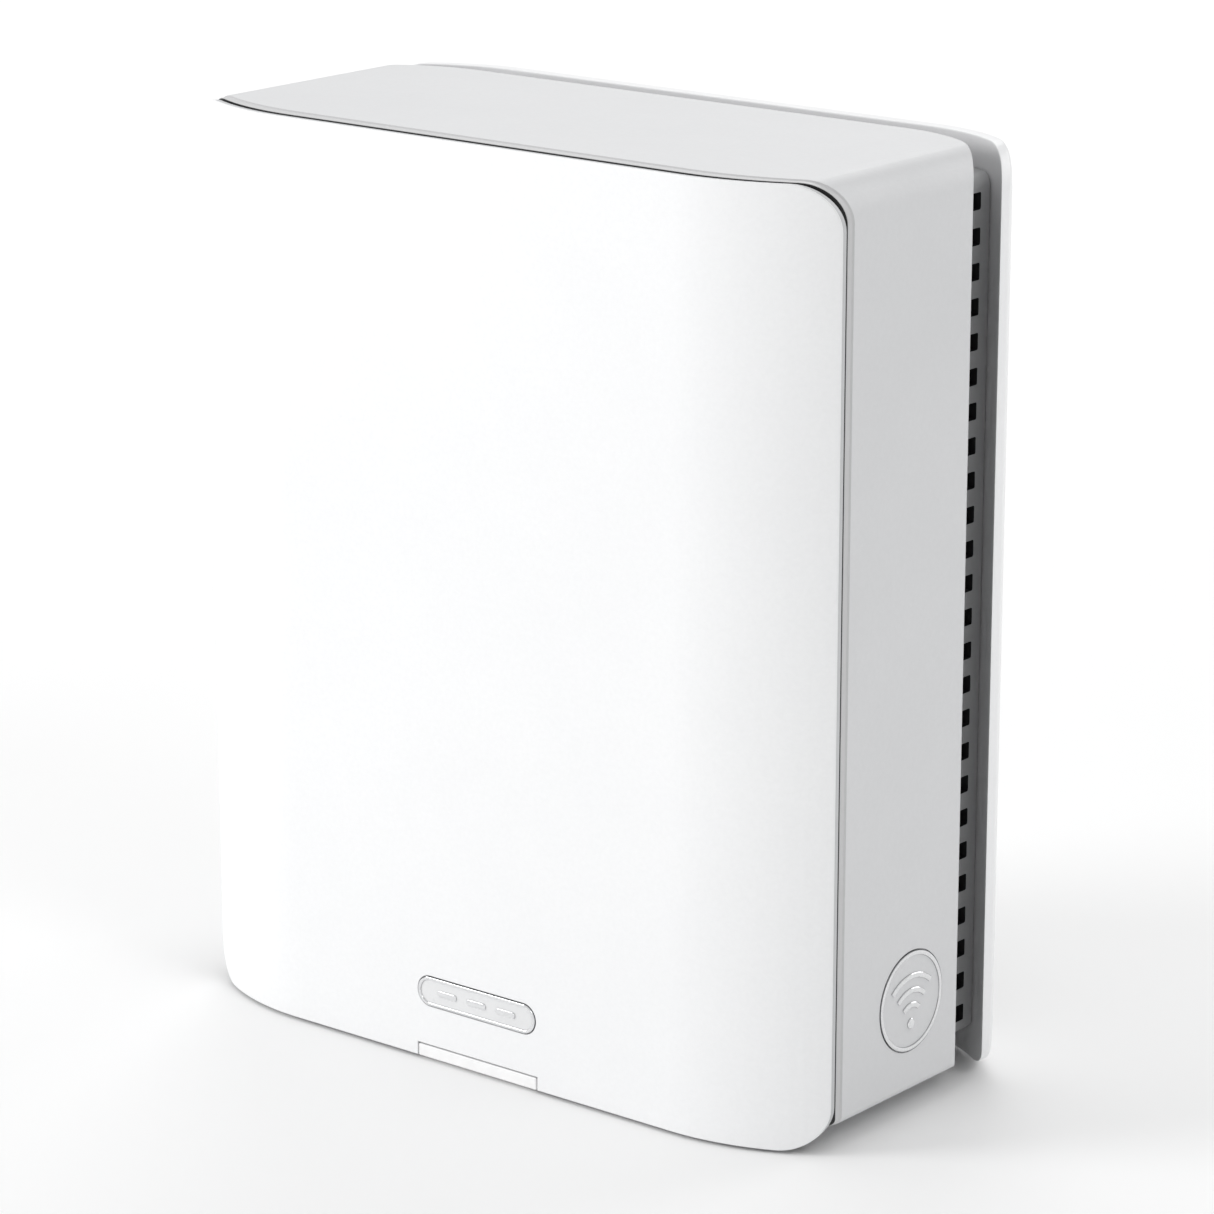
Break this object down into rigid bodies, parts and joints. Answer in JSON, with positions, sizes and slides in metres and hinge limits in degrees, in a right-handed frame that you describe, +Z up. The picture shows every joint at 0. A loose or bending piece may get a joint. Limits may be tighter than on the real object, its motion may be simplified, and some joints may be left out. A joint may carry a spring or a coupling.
{
  "type": "wireless router",
  "caption": "Upright wireless router: light grey body between two bowed white panels, slotted neck at the back, recessed port bay with rocker and press buttons.",
  "frame": {"origin": "on the floor, at the middle of the footprint", "axes": "+Z up; the front panel faces -Y; +X is the router's left hand side, on the right when seen from the front"},
  "size_m": [0.19, 0.0933, 0.2225],
  "materials": {
    "white_panel": "satin",
    "shell_grey": "satin",
    "vent_grey": "matte",
    "silver_trim": "satin",
    "dark_plastic": "matte",
    "rubber": "matte",
    "frosted_white": "satin",
    "board_green": "satin",
    "aluminium": "satin",
    "steel": "satin",
    "thermal_pad": "matte",
    "lead_jacket": "satin"
  },
  "bodies": {
    "root": {"front_panel": "white_panel", "back_panel": "white_panel", "light_window": "frosted_white", "light_guide": "frosted_white", "front_badge": "silver_trim", "side_badge": "silver_trim", "front_frame": "dark_plastic", "port_bay": "dark_plastic", "rj45_wan": "dark_plastic", "rj45_lan_1": "dark_plastic", "rj45_lan_2": "dark_plastic", "rj45_lan_3": "dark_plastic", "dc_jack": "dark_plastic", "power_switch_housing": "dark_plastic", "pair_switch": "dark_plastic", "reset_switch": "dark_plastic", "base_plate": "dark_plastic", "body_shell": "shell_grey", "vent_frame": "vent_grey", "light_board": "board_green", "main_board": "board_green", "light_lead": "lead_jacket", "usb_port": "steel", "shield_radio_left": "steel", "shield_radio_right": "steel", "shield_processor": "steel", "board_screw_1": "steel", "board_screw_2": "steel", "board_screw_3": "steel", "board_screw_4": "steel", "base_screw_1": "steel", "base_screw_2": "steel", "base_screw_3": "steel", "base_screw_4": "steel", "pad_radio_left": "thermal_pad", "pad_radio_right": "thermal_pad", "pad_processor": "thermal_pad", "heatsink_front": "aluminium", "heatsink_back": "aluminium", "antenna_left_low": "steel", "antenna_lead_left_low": "lead_jacket", "antenna_left_high": "steel", "antenna_lead_left_high": "lead_jacket", "antenna_top_left": "steel", "antenna_lead_top_left": "lead_jacket", "antenna_right_low": "steel", "antenna_lead_right_low": "lead_jacket", "antenna_right_high": "steel", "antenna_lead_right_high": "lead_jacket", "antenna_top_right": "steel", "antenna_lead_top_right": "lead_jacket", "base_foot_front": "rubber", "base_foot_back": "rubber"},
    "rocker": {"power_rocker": "dark_plastic"},
    "pair_key": {"pair_button": "vent_grey"},
    "reset_pin": {"reset_button": "dark_plastic"}
  },
  "joints": [
    {"name": "power_rocker_tilt", "type": "hinge", "parent": "root", "child": "rocker", "pos_m": [-0.058, 0.0255, 0.028], "axis": [-1, 0, 0], "range_deg": [0, 16]},
    {"name": "pair_button_travel", "type": "slide", "parent": "root", "child": "pair_key", "axis": [0, -1, 0], "range_m": [0, 0.0008], "stiffness_N_per_m": 600, "springref_m": -0.0006},
    {"name": "reset_pin_travel", "type": "slide", "parent": "root", "child": "reset_pin", "axis": [0, -1, 0], "range_m": [0, 0.0006], "stiffness_N_per_m": 600, "springref_m": -0.0006}
  ]
}
